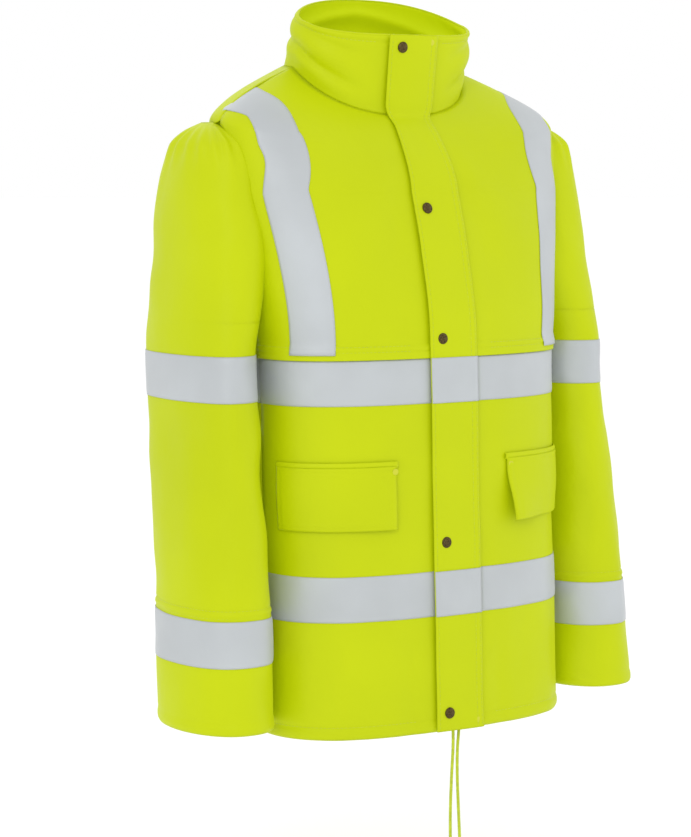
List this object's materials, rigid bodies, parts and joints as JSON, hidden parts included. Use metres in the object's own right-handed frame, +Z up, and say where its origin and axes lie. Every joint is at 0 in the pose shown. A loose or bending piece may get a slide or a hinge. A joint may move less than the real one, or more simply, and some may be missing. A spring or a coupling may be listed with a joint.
{
  "type": "foul weather jacket",
  "caption": "Bright yellow waterproof jacket with stand-up collar, snap-closed storm flap over a zip, pocket flaps, reflective tapes and a hem cord.",
  "frame": {"origin": "top of the hang loop inside the back of the neck", "axes": "+Z up, -Y the front, +X the wearer's left"},
  "size_m": [0.606, 0.2654, 1.0195],
  "materials": {
    "coated_yellow_cloth": "smooth rubbery coating with a soft sheen",
    "cloth_inner_side": "matt knitted backing",
    "reflective_tape": "fine glass-bead grey, matt",
    "bronze_metal": "dark brushed bronze",
    "zip_plastic": "moulded",
    "yellow_cord": "braided"
  },
  "bodies": {
    "shell": {"front_upper_right": "coated_yellow_cloth", "front_upper_left": "coated_yellow_cloth", "front_lower_right": "coated_yellow_cloth", "front_lower_left": "coated_yellow_cloth", "back_upper": "coated_yellow_cloth", "back_lower": "coated_yellow_cloth", "hem_facing": "cloth_inner_side", "hem_drawcord": "yellow_cord", "cord_eyelets": "bronze_metal", "cord_end_right": "yellow_cord", "cord_end_left": "yellow_cord", "cord_knot_right": "yellow_cord", "cord_knot_left": "yellow_cord", "collar_outer": "coated_yellow_cloth", "collar_lining": "cloth_inner_side", "hang_loop": "cloth_inner_side", "zip_tape_right": "zip_plastic", "zip_tape_left": "zip_plastic", "zip_teeth_right": "zip_plastic", "zip_teeth_left": "zip_plastic", "storm_flap_top": "coated_yellow_cloth", "snap_caps_top": "bronze_metal", "snap_sockets_top": "bronze_metal", "snap_studs": "bronze_metal", "pocket_bag_right": "cloth_inner_side", "pocket_bag_left": "cloth_inner_side", "tape_shoulder_right": "reflective_tape", "tape_shoulder_left": "reflective_tape", "tape_chest_right": "reflective_tape", "tape_chest_left": "reflective_tape", "tape_chest_back": "reflective_tape", "tape_waist_right": "reflective_tape", "tape_waist_left": "reflective_tape", "tape_waist_back": "reflective_tape", "sleeve_right": "coated_yellow_cloth", "sleeve_left": "coated_yellow_cloth", "tape_arm_right": "reflective_tape", "tape_arm_left": "reflective_tape", "tape_cuff_right": "reflective_tape", "tape_cuff_left": "reflective_tape"},
    "storm_flap": {"storm_flap": "coated_yellow_cloth", "snap_caps": "bronze_metal", "snap_sockets": "bronze_metal", "tape_chest_flap": "reflective_tape", "tape_waist_flap": "reflective_tape"},
    "pocket_flap_right": {"pocket_flap_right": "coated_yellow_cloth"},
    "pocket_flap_left": {"pocket_flap_left": "coated_yellow_cloth"},
    "zip": {"zip_slider": "bronze_metal", "zip_pull": "bronze_metal"}
  },
  "joints": [
    {"name": "storm_flap_swing", "type": "hinge", "parent": "shell", "child": "storm_flap", "pos_m": [0.031, -0.241, -0.742], "axis": [0, 0.04, 0.9992], "range_deg": [0, 100]},
    {"name": "pocket_flap_right_lift", "type": "hinge", "parent": "shell", "child": "pocket_flap_right", "pos_m": [-0.15362, -0.20061, -0.442], "axis": [-0.8392, 0.5439, 0], "range_deg": [0, 70]},
    {"name": "pocket_flap_left_lift", "type": "hinge", "parent": "shell", "child": "pocket_flap_left", "pos_m": [0.15362, -0.20061, -0.442], "axis": [-0.8392, -0.5439, 0], "range_deg": [0, 70]},
    {"name": "zip_slide", "type": "slide", "parent": "shell", "child": "zip", "axis": [0, -0.04, -0.9992], "range_m": [0, 0.36]}
  ]
}
